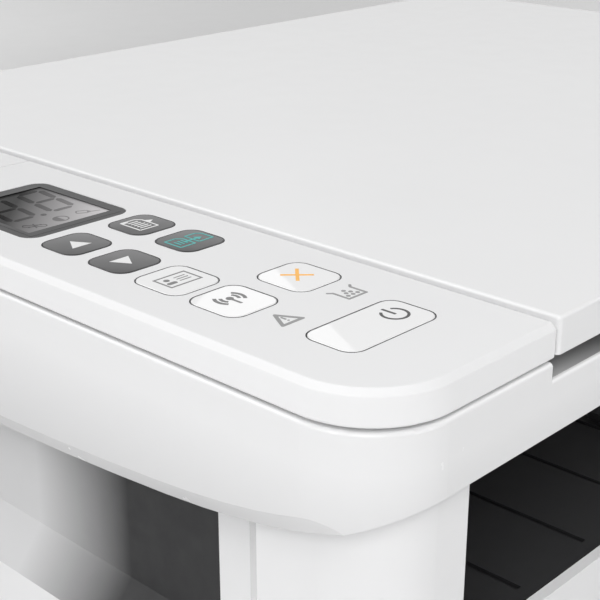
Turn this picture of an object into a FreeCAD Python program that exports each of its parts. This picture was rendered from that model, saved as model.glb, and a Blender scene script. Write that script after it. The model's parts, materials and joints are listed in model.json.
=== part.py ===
import FreeCAD, Part
import math
import os

# A compact flatbed multifunction laser printer, built as an assembly of separate pieces.
# Millimetres. Origin at the bottom centre of the whole machine, +X to the user's right,
# +Y towards the rear, +Z up. The front is at negative Y.

# Driving dimensions of the whole machine
WIDTH = 360.0
DEPTH = 264.0
LID_TOP = 197.0
X_SIDE = WIDTH / 2
Y_FRONT = -DEPTH / 2
Y_REAR = DEPTH / 2
BEYOND = 200.0

# Heights of the upper unit, counted down from the control panel's top
PANEL_TOP = LID_TOP - 0.9
SEAM_LOW = PANEL_TOP - 7.85
SEAM_HIGH = PANEL_TOP - 7.05
LID_LOW = PANEL_TOP - 6.8
NOTCH_LOW = PANEL_TOP - 11.5
HINGE_SHELF = PANEL_TOP - 15.1
FRONT_LIP = PANEL_TOP - 22.5
TUB_LOW = PANEL_TOP - 33.1

# Plan of the upper unit
GROOVE_X = -130.0
PANEL_RIGHT = GROOVE_X - 0.6
LID_LEFT = GROOVE_X + 0.5
SCANNER_REAR = 130.0
CORNER_FRONT = 18.0
CORNER_REAR = 12.0
CORNER_SMALL = 0.9
CORNER_INNER = 0.5
NOTCH_REAR = Y_FRONT + 8.0
STRIP_SPLIT = Y_FRONT + 161.5
STRIP_GAP = 0.5
WALL = 2.5
SKIRT = 3.0
SKIRT_DROP = 15.0
RIM_THICK = 1.6

# Rounding of the moulded edges
PANEL_BEVEL = 1.2
PANEL_ROUND = 0.4
SEAM_ROUND = 0.6
GROOVE_ROUND = 0.3
LID_ROUND = 0.7
LIP_ROUND = 0.8
SKIRT_BEVEL = (2.2, 4.0)

# Lower engine
ENGINE_X = 174.5
ENGINE_FRONT = Y_FRONT + 3.5
ENGINE_GAP = 2.0
ENGINE_TOP = TUB_LOW - ENGINE_GAP
ENGINE_CORNERS = (15.0, 12.0)
FOOT_HIGH = 3.0
FOOT_R = 9.0
FEET = [(x, y) for x in (-150, 150) for y in (-105, 110)]
BIN_X = 150.0
BIN_EDGE = BIN_X - 0.4
BIN_FLOOR = PANEL_TOP - 65.1
BIN_LOW = BIN_FLOOR - 18.0
BIN_BEND = -20.0
BIN_BACK = 72.0
BIN_THICK = 3.0
TRAY_TOP = 105.5
PLATE_X = 144.0
PLATE_THICK = 2.0
PLATE_Y = (-112.0, 118.0)
PLATE_TOP = 136.0

# The hand grip let into each engine side under the scanner's skirt
GRIP_LOW = 112.0
GRIP_FLOOR = 122.0
GRIP_DEEP = 8.0
GRIP_Y = (Y_FRONT + 34, Y_REAR - 24)
GRIP_END = 10.0
GRIP_SLANT = 1.6

# The tub's underside falls from the front lip in two straight runs, and steps up at the rear
SLOPE_FAR = Y_FRONT + 64
SLOPE_END = Y_FRONT + 106
TUB_RISE = 2.6
TUB_REAR = 112.0
TUB_FRONT_INSIDE = Y_FRONT + 11
TUB_REAR_INSIDE = 109.0

# The curved lower edge of the scanner's side skirts, as (y, z) points
SKIRT_POINTS = [
    (Y_FRONT - 1, FRONT_LIP),
    (Y_FRONT + 22, PANEL_TOP - 31.6),
    (Y_FRONT + 64, PANEL_TOP - 38.4),
    (Y_FRONT + 106, PANEL_TOP - 41.6),
    (SCANNER_REAR + 1, PANEL_TOP - 46.0),
]

# Base pan with its tray lugs and its rear flange
PAN_X = 172.0
PAN_Y = (-122.0, 129.0)
PAN_TOP = FOOT_HIGH + 3.0
LUG_X = (147.7, 149.7)
LUG_REAR = -119.0
LUG_TOP = 17.0
FLANGE_X = (-149.0, 100.0)
FLANGE_Y = (126.9, 129.5)
FLANGE_TOP = 20.0

# Rear wall: sockets, cooling slots and screws
INLET_X = (108.0, 138.0)
INLET_Z = (15.0, 39.0)
USB_X = (-111.0, -97.0)
USB_Z = (59.0, 72.0)
SOCKET_FIT = 0.2
VENTS = [-60 + 10 * column for column in range(13)]
VENT_WIDTH = 4.0
VENT_Z = (88.0, 122.0)
SCREWS = [(-135, 14), (90, 14), (-135, 147), (135, 147)]
SCREW_R = 1.45
SCREW_HEAD_R = 3.2
SCREW_HEAD = 1.3
SCREW_TIP = 122.0
SCREW_FIT = 0.05
SLOT_LONG = 4.4
SLOT_WIDE = 0.7

# Output bin and its paper stop
BIN_RIBS = [-122 + 25 * column for column in range(11)]
RIB_GROOVE = (1.6, 0.8)
STOP_X = 45.0
STOP_LONG = 30.0
STOP_THICK = 2.0
STOP_EAR = (45.5, 48.0)

# Laser scanner, cartridge and fuser
LASER_X = 110.0
LASER_Y = (-100.0, -25.0)
LASER_Z = (78.0, 118.0)
LASER_WALL = 2.5
LASER_WINDOW_Z = (84.0, 90.0)
POLYGON_AT = (0.0, -60.0)
POLYGON_R = 11.0
POLYGON_Z = (88.0, 92.0)
POLYGON_SIDES = 6
CARTRIDGE_Y = (-18.0, 50.0)
CARTRIDGE_Z = (77.0, 106.0)
HOPPER_X = 118.0
HOPPER_REAR = 20.0
HOPPER_LOW = 55.0
DRUM_BAY = (14.5, 126.0)
HANDLE_X = 60.0
HANDLE_DEEP = 6.5
FUSER_Y = (62.0, 99.0)
FUSER_Z = (50.0, 98.0)
FUSER_WALL = 3.0

# Electronics
BOARD_THICK = 1.6
MAIN_BOARD_X = (-120.0, 60.0)
MAIN_BOARD_Y = 121.0
MAIN_BOARD_Z = (55.0, 130.0)
CHIPS = [(-60, 100, 22), (-10, 75, 16), (30, 105, 14)]
BOARD_POSTS = [(-115, 125), (-115, 80), (55, 60), (55, 126)]
POWER_BOARD_X = (-140.0, 100.0)
POWER_BOARD_Y = (90.0, 121.0)
POWER_BOARD_LOW = PAN_TOP + 5.0
TRANSFORMER_X = (-90.0, -55.0)
TRANSFORMER_Y = (96.0, 120.0)
TRANSFORMER_TOP = 38.0
CAPACITORS = (-30, -5, 20)
CAPACITOR_R = 8.0
CAPACITOR_TOP = 40.0
POWER_POSTS = [(x, y) for x in (-135, 95) for y in (95, 116)]
INLET_PINS = [(117, 24), (123, 30), (129, 24)]
MOTOR_FACE = 155.0
MOTOR_END = 168.0
MOTOR_R = 17.0
MOTOR_FLANGE = 1.5
MOTOR_SHAFT = 2.0
MOTOR_POSTS = [(22, 18), (-22, 18), (-22, -12)]

# Paper bed, width guides and fold-down tray
BED_X = 120.0
BED_Y = (-112.0, -4.0)
BED_Z = (22.0, 25.0)
BED_LEGS = (-110, 0, 110)
GUIDE_X = (109.0, 112.0)
GUIDE_LOW = BED_Z[1] + 0.3
GUIDE_TOP = 50.0
TRAY_X = 147.0
TRAY_LOW = 9.5
TRAY_THICK = 3.0
TRAY_RIBS = range(-135, 136, 45)
TRAY_RIB = 2.5
TRAY_RIB_REAR = -114.0
TRAY_SHELF = 98.0
TRAY_GRIP = (60.0, 9.0, 1.8)

# Shafts and gears, with a module of 1 mm, all turning about X
SHAFT = 3.0
RUN = 0.05
GEAR_X = 147.5
GEAR_WIDTH = 6.0
ADDENDUM = 0.85
DEDENDUM = 1.15
TOOTH_HALF = 0.62
FLANK = math.tan(math.radians(20))
DRUM_AT = (35.0, 62.0)
DRUM_R = 12.0
TRANSFER_R = 6.65
FUSER_R = 9.0
PICKUP_R = 12.0
DELIVERY_R = 7.0
TYRES = (-95, -40, 40, 95)
TYRE_WIDTH = 16.0
ROLLER_LONG = 230.0
PICKUP_LONG = 46.0
TEETH = {
    "photo_drum": 24,
    "transfer_roller": 14,
    "motor_pinion": 12,
    "feed_idler": 28,
    "pickup_roller": 24,
    "fuser_idler": 20,
    "pressure_roller": 20,
    "delivery_idler": 44,
    "delivery_roller": 16,
}
# Each gear, the gear that drives it, and the direction from that one to it in degrees
TRAIN = [
    ("transfer_roller", "photo_drum", -90.0),
    ("motor_pinion", "photo_drum", 110.0),
    ("feed_idler", "transfer_roller", 190.0),
    ("pickup_roller", "feed_idler", 180.0),
    ("fuser_idler", "photo_drum", 10.0),
    ("pressure_roller", "fuser_idler", -5.0),
    ("delivery_idler", "pressure_roller", 75.0),
    ("delivery_roller", "delivery_idler", 95.0),
]
SLEEVE_TURN = 100.0

# Rollers with a plain body, as name, radius and length
ROLLERS = [
    ("photo_drum", DRUM_R, ROLLER_LONG),
    ("transfer_roller", TRANSFER_R, ROLLER_LONG - 4),
    ("pickup_roller", PICKUP_R, PICKUP_LONG),
    ("pressure_roller", FUSER_R, ROLLER_LONG),
]

# Hinges, each an axis along X at (y, z)
TRAY_PIVOT = (-126.0, 13.0)
STOP_PIVOT = (-121.0, BIN_FLOOR + 1.8)
SCANNER_PIVOT = (122.0, ENGINE_TOP + 5.5)
LID_PIVOT = (124.0, LID_LOW - 0.8)
LID_HINGE_X = (-70.0, 120.0)
SCANNER_HINGE_X = (-105.0, 105.0)
TRAY_PIN = 1.5
LID_PIN = 1.5
LID_EAR = 3.0
LID_EAR_Y = (118.5, 124.5)
SCANNER_PIN = 2.0
TUB_REAR_LOW = SCANNER_PIVOT[1] + 4
EXIT_TOP = 141.0

# Control panel layout, from the lid groove and from the front
DARK_KEY = (12.6, 12.6)
WHITE_KEY = (13.7, 14.2)
POWER_KEY = (25.5, 13.1)
KEY_GAP = 0.3
KEY_ROUND = 3.4
KEY_PROUD = 0.1
KEY_EDGE = 0.25
LEFT_COLUMN = GROOVE_X - 33.3
RIGHT_COLUMN = GROOVE_X - 15.3
ROWS = [Y_FRONT + y for y in (98.8, 82.9, 66.7, 50.6)]
POWER_AT = (GROOVE_X - 24.4, Y_FRONT + 23.8)
DISPLAY_X = (GROOVE_X - 39.0, GROOVE_X - 10.0)
DISPLAY_Y = (Y_FRONT + 108.1, Y_FRONT + 143.5)
DISPLAY_ROUND = 4.0
DISPLAY_BORDER = 2.4
BEZEL_GAP = 0.1
LCD_SUNK = 0.4
PANEL_BOARD_REAR = 18.0
# Each key's hole as its centre and its size
KEYS = {
    "key_up": (LEFT_COLUMN, ROWS[0], *DARK_KEY),
    "key_down": (LEFT_COLUMN, ROWS[1], *DARK_KEY),
    "key_id_copy": (LEFT_COLUMN, ROWS[2], *WHITE_KEY),
    "key_wireless": (LEFT_COLUMN, ROWS[3], *WHITE_KEY),
    "key_copy_menu": (RIGHT_COLUMN, ROWS[0], *DARK_KEY),
    "key_start_copy": (RIGHT_COLUMN, ROWS[1], *DARK_KEY),
    "key_cancel": (RIGHT_COLUMN, ROWS[3], *WHITE_KEY),
    "key_power": (*POWER_AT, *POWER_KEY),
}

# Scanner: glass in its window, lid pad, and the carriage that travels along X under the glass
GLASS_LOW = PANEL_TOP - 13.6
GLASS_HIGH = GLASS_LOW + 3.0
GLASS_EDGE = 4.0
WINDOW_X = (-118.0, 170.0)
WINDOW_Y = (-110.0, 98.0)
PAD_X = (-117.0, 169.0)
PAD_Y = (-108.0, 96.0)
CARRIAGE_X = (-118.0, -98.0)
CARRIAGE_Y = (-106.0, 94.0)
RAIL_AT = (-4.0, TUB_LOW + 6.0)
PINION_TEETH = 16
PINION_AT = (-108.0, 60.0)
RACK_LONG = 290.0


def box(x0, x1, y0, y1, z0, z1):
    corner = FreeCAD.Vector(min(x0, x1), min(y0, y1), z0)
    return Part.makeBox(abs(x1 - x0), abs(y1 - y0), z1 - z0, corner)


def rod(y, z, radius, x0, x1):
    """A round bar along X."""
    return Part.makeCylinder(radius, x1 - x0, FreeCAD.Vector(x0, y, z), FreeCAD.Vector(1, 0, 0))


def post(x, y, radius, z0, z1):
    """A round bar along Z."""
    return Part.makeCylinder(radius, z1 - z0, FreeCAD.Vector(x, y, z0))


def stud(x, z, radius, y0, y1):
    """A round bar along Y."""
    return Part.makeCylinder(radius, y1 - y0, FreeCAD.Vector(x, y0, z), FreeCAD.Vector(0, 1, 0))


def fuse(shapes):
    result = shapes[0]
    for shape in shapes[1:]:
        result = result.fuse(shape)
    return result.removeSplitter()


def slab(x0, x1, y0, y1, z0, z1, radii):
    """An upright block whose four corners are rounded.

    The radii are for the front left, front right, rear right and rear left corners."""
    corners = [(x0, y0, 1, 1), (x1, y0, -1, 1), (x1, y1, -1, -1), (x0, y1, 1, -1)]
    points = []
    arcs = []
    diagonal = 1 - math.sqrt(0.5)
    for index, (x, y, dx, dy) in enumerate(corners):
        r = radii[index]
        along_x = FreeCAD.Vector(x + dx * r, y, z0)
        along_y = FreeCAD.Vector(x, y + dy * r, z0)
        middle = FreeCAD.Vector(x + dx * r * diagonal, y + dy * r * diagonal, z0)
        first, last = (along_y, along_x) if index % 2 == 0 else (along_x, along_y)
        points.append((first, last))
        arcs.append(Part.Arc(first, middle, last).toShape())
    edges = []
    for index in range(4):
        edges.append(arcs[index])
        edges.append(Part.makeLine(points[index][1], points[(index + 1) % 4][0]))
    face = Part.Face(Part.Wire(edges))
    return face.extrude(FreeCAD.Vector(0, 0, z1 - z0))


def side_cut(outline, x0, x1):
    """A block along X from an outline of (y, z) points."""
    points = [FreeCAD.Vector(x0, y, z) for y, z in outline]
    points.append(points[0])
    return Part.Face(Part.makePolygon(points)).extrude(FreeCAD.Vector(x1 - x0, 0, 0))


def flat_edges(shape, height):
    """The edges that lie all in the plane at one height."""
    found = []
    for edge in shape.Edges:
        limits = edge.BoundBox
        if abs(limits.ZMin - height) < 1e-4 and abs(limits.ZMax - height) < 1e-4:
            found.append(edge)
    return found


def soft_top(shape, radius, top):
    """Round the edges at the top."""
    return shape.makeFillet(radius, flat_edges(shape, top))


def bevelled_top(shape, bevel, radius, top):
    """Cut the edges at the top back at 45 degrees, and round both edges of that bevel."""
    cut = shape.makeChamfer(bevel, flat_edges(shape, top))
    cut = cut.makeFillet(radius, flat_edges(cut, top))
    return cut.makeFillet(radius, flat_edges(cut, top - bevel))


def save(name, shape):
    shape.exportStep("parts/" + name + ".step")
    limits = shape.BoundBox
    corners = (limits.XMin, limits.XMax, limits.YMin, limits.YMax, limits.ZMin, limits.ZMax)
    volume = round(shape.Volume / 1000, 2)
    print(name, len(shape.Solids), "solids", volume, "cm3", shape.isValid(), [round(v, 1) for v in corners])

def gear_outline(teeth, phase):
    """Points of a gear about its centre, as (angle, radius), with a tooth centred at phase."""
    pitch_r = teeth / 2
    root_r = pitch_r - DEDENDUM
    tip_r = pitch_r + ADDENDUM
    root_half = (TOOTH_HALF + DEDENDUM * FLANK) / root_r
    tip_half = (TOOTH_HALF - ADDENDUM * FLANK) / tip_r
    points = []
    for tooth in range(teeth):
        middle = phase + 2 * math.pi * tooth / teeth
        points.append((middle - root_half, root_r))
        points.append((middle - tip_half, tip_r))
        points.append((middle + tip_half, tip_r))
        points.append((middle + root_half, root_r))
    return points


def gear(teeth, phase, centre, x0, x1):
    """A spur gear about an axis along X."""
    outline = []
    for angle, radius in gear_outline(teeth, phase):
        outline.append((centre[0] + radius * math.cos(angle), centre[1] + radius * math.sin(angle)))
    return side_cut(outline, x0, x1)


def lay_train():
    """Centre and tooth phase of each gear, worked out along the train."""
    centres = {"photo_drum": DRUM_AT}
    phases = {"photo_drum": 0.0}
    for name, driver, degrees in TRAIN:
        direction = math.radians(degrees)
        reach = (TEETH[name] + TEETH[driver]) / 2
        start = centres[driver]
        centres[name] = (start[0] + reach * math.cos(direction), start[1] + reach * math.sin(direction))
        driver_turns = (direction - phases[driver]) * TEETH[driver] / (2 * math.pi)
        phases[name] = direction + math.pi - (0.5 - driver_turns) * 2 * math.pi / TEETH[name]
    return centres, phases


CENTRES, PHASES = lay_train()
SLEEVE_REACH = 2 * FUSER_R + 0.35
SLEEVE_AT = (CENTRES["pressure_roller"][0] + SLEEVE_REACH * math.cos(math.radians(SLEEVE_TURN)),
             CENTRES["pressure_roller"][1] + SLEEVE_REACH * math.sin(math.radians(SLEEVE_TURN)))
IDLERS = ("feed_idler", "fuser_idler", "delivery_idler")
THROUGH = ("photo_drum", "transfer_roller", "pickup_roller", "pressure_roller", "delivery_roller")


def roller(name, radius, length):
    """A roller on its shaft, with its drive gear outside the right side plate."""
    y, z = CENTRES[name]
    shaft = rod(y, z, SHAFT, -PLATE_X - PLATE_THICK - 1, GEAR_X + GEAR_WIDTH)
    body = rod(y, z, radius, -length / 2, length / 2)
    wheel = gear(TEETH[name], PHASES[name], CENTRES[name], GEAR_X, GEAR_X + GEAR_WIDTH)
    return fuse([shaft, body, wheel])


def idler(name):
    """A gear that turns on a post of the right side plate."""
    y, z = CENTRES[name]
    wheel = gear(TEETH[name], PHASES[name], CENTRES[name], GEAR_X, GEAR_X + GEAR_WIDTH)
    return wheel.cut(rod(y, z, SHAFT + RUN, GEAR_X - 1, GEAR_X + GEAR_WIDTH + 1))


def side_plate(sign):
    """A steel side plate with the holes that carry the shafts."""
    inner = sign * PLATE_X
    outer = sign * (PLATE_X + PLATE_THICK)
    plate = box(inner, outer, *PLATE_Y, PAN_TOP, BIN_LOW - 5)
    plate = plate.fuse(box(inner, outer, BIN_BACK + 1, PLATE_Y[1], BIN_LOW - 6, PLATE_TOP)).removeSplitter()
    low = min(inner, outer) - 1
    high = low + PLATE_THICK + 2
    for name in THROUGH:
        plate = plate.cut(rod(*CENTRES[name], SHAFT + RUN, low, high))
    plate = plate.cut(rod(*SLEEVE_AT, SHAFT + RUN, low, high))
    if sign > 0:
        for name in IDLERS:
            plate = plate.fuse(rod(*CENTRES[name], SHAFT, outer, GEAR_X + GEAR_WIDTH))
        y, z = CENTRES["motor_pinion"]
        plate = plate.cut(rod(y, z, MOTOR_SHAFT + RUN, low, high))
        for dy, dz in MOTOR_POSTS:
            plate = plate.fuse(rod(y + dy, z + dz, 2.5, outer, MOTOR_FACE))
    return plate


def tub_height(y):
    """Height of the tub's underside at y, in front of its rear step."""
    if y < SLOPE_FAR:
        share = (y - Y_FRONT) / (SLOPE_FAR - Y_FRONT)
        return FRONT_LIP + share * (TUB_LOW + TUB_RISE - FRONT_LIP)
    share = min(1.0, (y - SLOPE_FAR) / (SLOPE_END - SLOPE_FAR))
    return TUB_LOW + TUB_RISE * (1 - share)


def engine_side(shrink):
    """Side view of the engine as (y, z) points, shrunk by a wall but open below."""
    floor = FOOT_HIGH - 1 if shrink else FOOT_HIGH
    front = ENGINE_FRONT + shrink
    rear = Y_REAR - shrink
    drop = ENGINE_GAP + shrink
    points = [(front, floor), (rear, floor), (rear, ENGINE_TOP - shrink)]
    for y in (SLOPE_END, SLOPE_FAR, front):
        points.append((y, tub_height(y) - drop))
    return points


def hand_grip(sign, wall):
    """The space let into an engine side to lift the scanner by, grown inwards by a wall."""
    side = sign * ENGINE_X
    out = sign * (ENGINE_X + 1)
    deep = sign * (ENGINE_X - GRIP_DEEP - wall)
    grow = wall * GRIP_SLANT
    low = GRIP_LOW - grow
    first = GRIP_Y[0] - grow
    last = GRIP_Y[1] + grow
    upright = [(out, low), (side, low), (deep, GRIP_FLOOR - grow), (deep, LID_TOP), (out, LID_TOP)]
    plan = [(out, first), (side, first), (deep, first + GRIP_END)]
    plan += [(deep, last - GRIP_END), (side, last), (out, last)]
    tall = [FreeCAD.Vector(x, Y_FRONT, z) for x, z in upright]
    flat = [FreeCAD.Vector(x, y, 0) for x, y in plan]
    along = Part.Face(Part.makePolygon(tall + tall[:1])).extrude(FreeCAD.Vector(0, DEPTH, 0))
    return along.common(Part.Face(Part.makePolygon(flat + flat[:1])).extrude(FreeCAD.Vector(0, 0, LID_TOP)))


def engine_cover(sign):
    """A side shell of the engine: outer wall, short front and rear returns and the bin's side wall."""
    outer_x = sign * ENGINE_X
    inner_x = sign * BIN_X
    low, high = min(outer_x, inner_x), max(outer_x, inner_x)
    front_r, rear_r = ENGINE_CORNERS
    radii = [CORNER_INNER, front_r, rear_r, CORNER_INNER]
    hollow_radii = [CORNER_INNER, front_r - WALL, rear_r - WALL, CORNER_INNER]
    if sign < 0:
        radii = [front_r, CORNER_INNER, CORNER_INNER, rear_r]
        hollow_radii = [front_r - WALL, CORNER_INNER, CORNER_INNER, rear_r - WALL]
    block = slab(low, high, ENGINE_FRONT, Y_REAR, 0, LID_TOP, radii)
    block = block.common(side_cut(engine_side(0), low - 1, high + 1))
    hollow = slab(low + WALL, high - WALL, ENGINE_FRONT + WALL, Y_REAR - WALL, 0, LID_TOP, hollow_radii)
    hollow = hollow.common(side_cut(engine_side(WALL), low - 1, high + 1))
    block = block.cut(hollow.cut(hand_grip(sign, WALL))).cut(hand_grip(sign, 0.0))
    past_wall = inner_x + sign * (WALL + 0.1)
    beyond = inner_x - sign
    block = block.cut(box(past_wall, beyond, ENGINE_FRONT + WALL, Y_REAR - WALL, 0, BIN_LOW))
    block = block.cut(box(past_wall, beyond, BIN_BACK - 14, Y_REAR - WALL, 0, BIN_LOW + 8))
    return block.cut(box(past_wall, beyond, BIN_BACK, Y_REAR - WALL, 0, ENGINE_TOP - WALL))


def build_base():
    pan = box(-PAN_X, PAN_X, *PAN_Y, FOOT_HIGH, PAN_TOP)
    for sign in (-1, 1):
        lug = box(sign * LUG_X[0], sign * LUG_X[1], ENGINE_FRONT, LUG_REAR, FOOT_HIGH, LUG_TOP)
        middle = sign * sum(LUG_X) / 2
        pan = pan.fuse(lug.cut(rod(*TRAY_PIVOT, TRAY_PIN + RUN, middle - 2, middle + 2)))
    pan = pan.fuse(box(*FLANGE_X, *FLANGE_Y, FOOT_HIGH, FLANGE_TOP)).removeSplitter()
    for x, z in SCREWS:
        if z < FLANGE_TOP:
            pan = pan.cut(stud(x, z, SCREW_R + SCREW_FIT, SCREW_TIP - 2, Y_REAR - 1))
    save("base_pan", pan)
    save("rubber_feet", Part.makeCompound([post(x, y, FOOT_R, 0, FOOT_HIGH) for x, y in FEET]))
    pan_space = box(-PAN_X - 0.1, PAN_X + 0.1, PAN_Y[0] - 0.1, FLANGE_Y[1] + 0.1, FOOT_HIGH - 1, PAN_TOP)
    save("left_cover", engine_cover(-1).cut(pan_space))
    save("right_cover", engine_cover(1).cut(pan_space))


def build_outer_walls():
    front = box(-BIN_EDGE, BIN_EDGE, ENGINE_FRONT, ENGINE_FRONT + WALL, TRAY_TOP + 1, BIN_FLOOR)
    ledge = box(-BIN_EDGE, BIN_EDGE, ENGINE_FRONT + WALL, PLATE_Y[0], TRAY_TOP + 12, TRAY_TOP + 14)
    save("front_cover", front.fuse(ledge).removeSplitter())

    through = (SCREW_TIP - 2, Y_REAR + 8)
    rear = box(-BIN_EDGE, BIN_EDGE, Y_REAR - WALL, Y_REAR, FOOT_HIGH + 0.5, ENGINE_TOP)
    rear = rear.cut(box(*INLET_X, *through, *INLET_Z))
    rear = rear.cut(box(*USB_X, *through, *USB_Z))
    for x in VENTS:
        rear = rear.cut(box(x - VENT_WIDTH / 2, x + VENT_WIDTH / 2, *through, *VENT_Z))
    screws = []
    head_low = Y_REAR - SCREW_HEAD
    for x, z in SCREWS:
        rear = rear.cut(stud(x, z, SCREW_R + SCREW_FIT, *through))
        rear = rear.cut(stud(x, z, SCREW_HEAD_R + 0.2, head_low, through[1]))
        screw = stud(x, z, SCREW_HEAD_R, head_low, Y_REAR)
        screw = screw.fuse(stud(x, z, SCREW_R, SCREW_TIP, head_low + 0.1))
        for wide, tall in ((SLOT_LONG, SLOT_WIDE), (SLOT_WIDE, SLOT_LONG)):
            slot = box(x - wide / 2, x + wide / 2, Y_REAR - SLOT_WIDE, through[1], z - tall / 2, z + tall / 2)
            screw = screw.cut(slot)
        screws.append(screw.removeSplitter())
    save("rear_cover", rear)
    save("cover_screws", Part.makeCompound(screws))

    front_edge = BIN_BACK + 1
    roof = box(-BIN_EDGE, BIN_EDGE, front_edge, FLANGE_Y[1] - 0.1, ENGINE_TOP - WALL, ENGINE_TOP)
    roof = roof.fuse(box(-BIN_EDGE, BIN_EDGE, front_edge, front_edge + WALL, EXIT_TOP, ENGINE_TOP - 1))
    roof = roof.fuse(box(-BIN_X + 2, BIN_X - 2, FLANGE_Y[0], FLANGE_Y[1] - 0.1, EXIT_TOP - 1, ENGINE_TOP - 1))
    roof = roof.removeSplitter()
    for x, z in SCREWS:
        if z > EXIT_TOP:
            roof = roof.cut(stud(x, z, SCREW_R + SCREW_FIT, SCREW_TIP - 2, Y_REAR - 1))
    save("exit_cover", roof)


def build_bin():
    front = ENGINE_FRONT + WALL + 0.3
    line = [(front, BIN_FLOOR), (front, BIN_FLOOR - BIN_THICK), (BIN_BEND, BIN_FLOOR - BIN_THICK)]
    line += [(BIN_BACK, BIN_LOW - BIN_THICK), (BIN_BACK, BIN_LOW), (BIN_BEND, BIN_FLOOR)]
    floor = side_cut(line, -BIN_EDGE, BIN_EDGE)
    wide, deep = RIB_GROOVE
    for x in BIN_RIBS:
        left = x - wide / 2
        groove = box(left, left + wide, ENGINE_FRONT + 6, BIN_BEND - 2, BIN_FLOOR - deep, BIN_FLOOR + 1)
        floor = floor.cut(groove)
    y, z = STOP_PIVOT
    for sign in (-1, 1):
        near, far = (sign * x for x in STOP_EAR)
        ear = box(near, far, y - 3, y + 3, BIN_FLOOR - 0.9, z + STOP_THICK - 0.2)
        hole = rod(y, z, STOP_THICK / 2 + RUN, min(near, far) - 1, max(near, far) + 1)
        floor = floor.fuse(ear.cut(hole))
        plate_side = sign * (PLATE_X + PLATE_THICK + 0.4)
        wall_side = sign * (BIN_X + 1)
        floor = floor.cut(box(plate_side, wall_side, BIN_BACK - 14, BIN_BACK + 1, TRAY_TOP, BIN_FLOOR))
    save("output_bin", floor.removeSplitter())
    half = STOP_THICK / 2
    stop = box(-STOP_X, STOP_X, y - half, y + STOP_LONG, z - half, z + half)
    save("output_stop", stop.fuse(rod(y, z, half, -STOP_EAR[1], STOP_EAR[1])).removeSplitter())


def build_laser():
    wall = LASER_WALL
    front, rear = LASER_Y
    low, high = LASER_Z
    x, y = POLYGON_AT
    inside = box(-LASER_X + wall, LASER_X - wall, front + wall, rear - wall, low + wall, high - wall)
    laser = box(-LASER_X, LASER_X, front, rear, low, high).cut(inside)
    for sign in (-1, 1):
        laser = laser.fuse(box(sign * (LASER_X - 1), sign * PLATE_X, front + 10, rear - 15, low, low + wall))
    window = box(-LASER_X + 10, LASER_X - 10, rear - wall - 1, rear + 1, *LASER_WINDOW_Z)
    laser = laser.cut(window).fuse(post(x, y, 9, low + wall, POLYGON_Z[0] - 2)).removeSplitter()
    save("laser_housing", laser.cut(post(x, y, MOTOR_SHAFT + RUN, low + 4, POLYGON_Z[0])))
    corners = []
    for k in range(POLYGON_SIDES + 1):
        angle = 2 * math.pi * k / POLYGON_SIDES
        corner_x = x + POLYGON_R * math.cos(angle)
        corner_y = y + POLYGON_R * math.sin(angle)
        corners.append(FreeCAD.Vector(corner_x, corner_y, POLYGON_Z[0]))
    mirror = Part.Face(Part.makePolygon(corners)).extrude(FreeCAD.Vector(0, 0, POLYGON_Z[1] - POLYGON_Z[0]))
    save("polygon_mirror", mirror.fuse(post(x, y, MOTOR_SHAFT, low + 4.5, POLYGON_Z[1] + 2)).removeSplitter())


def build_cartridge():
    front, rear = CARTRIDGE_Y
    low, high = CARTRIDGE_Z
    radius, half = DRUM_BAY
    shell = box(-PLATE_X, PLATE_X, front, rear, low, high)
    shell = shell.fuse(box(-HOPPER_X, HOPPER_X, front, HOPPER_REAR, HOPPER_LOW, low)).removeSplitter()
    shell = shell.cut(rod(*DRUM_AT, radius, -half, half))
    handle = box(-HANDLE_X, HANDLE_X, front - HANDLE_DEEP, front, high - 10, high - 7)
    save("toner_cartridge", shell.fuse(handle).removeSplitter())

    front, rear = FUSER_Y
    low, high = FUSER_Z
    fuser = box(-PLATE_X, PLATE_X, front, rear, high - FUSER_WALL, high)
    fuser = fuser.fuse(box(-PLATE_X, PLATE_X, rear - FUSER_WALL, rear, low, high))
    save("fuser_frame", fuser.removeSplitter())


def build_boards():
    face = MAIN_BOARD_Y + BOARD_THICK
    board = box(*MAIN_BOARD_X, MAIN_BOARD_Y, face, *MAIN_BOARD_Z)
    for x, z, side in CHIPS:
        board = board.fuse(box(x, x + side, face, face + BOARD_THICK, z, z + side))
    for x, z in BOARD_POSTS:
        board = board.fuse(stud(x, z, 3, face, Y_REAR - WALL))
    save("main_board", board.removeSplitter())
    port = box(USB_X[0] + 1, USB_X[1] - 1, face, Y_REAR - 0.5, USB_Z[0] + 1, USB_Z[1] - 1)
    mouth = box(USB_X[0] + 3, USB_X[1] - 3, face + 2.4, Y_REAR, USB_Z[0] + 3, USB_Z[1] - 3)
    save("usb_port", port.cut(mouth))

    top = POWER_BOARD_LOW + BOARD_THICK
    supply = box(*POWER_BOARD_X, *POWER_BOARD_Y, POWER_BOARD_LOW, top)
    supply = supply.fuse(box(*TRANSFORMER_X, *TRANSFORMER_Y, top, TRANSFORMER_TOP))
    for x in CAPACITORS:
        supply = supply.fuse(post(x, POWER_BOARD_Y[1] - 11, CAPACITOR_R, top, CAPACITOR_TOP))
    for x, y in POWER_POSTS:
        supply = supply.fuse(post(x, y, 2.5, PAN_TOP, POWER_BOARD_LOW))
    save("power_board", supply.removeSplitter())

    left, right = INLET_X[0] + SOCKET_FIT, INLET_X[1] - SOCKET_FIT
    low, high = INLET_Z[0] + SOCKET_FIT, INLET_Z[1] - SOCKET_FIT
    shell = 2.8
    inlet = box(left, right, 108, Y_REAR - 0.4, low, high)
    inlet = inlet.cut(box(left + shell, right - shell, 114, Y_REAR, low + shell, high - shell))
    for x, z in INLET_PINS:
        inlet = inlet.fuse(box(x - 1.2, x + 1.2, 113.5, 127, z - 2.5, z + 2.5))
    save("power_inlet", inlet.removeSplitter())


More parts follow.
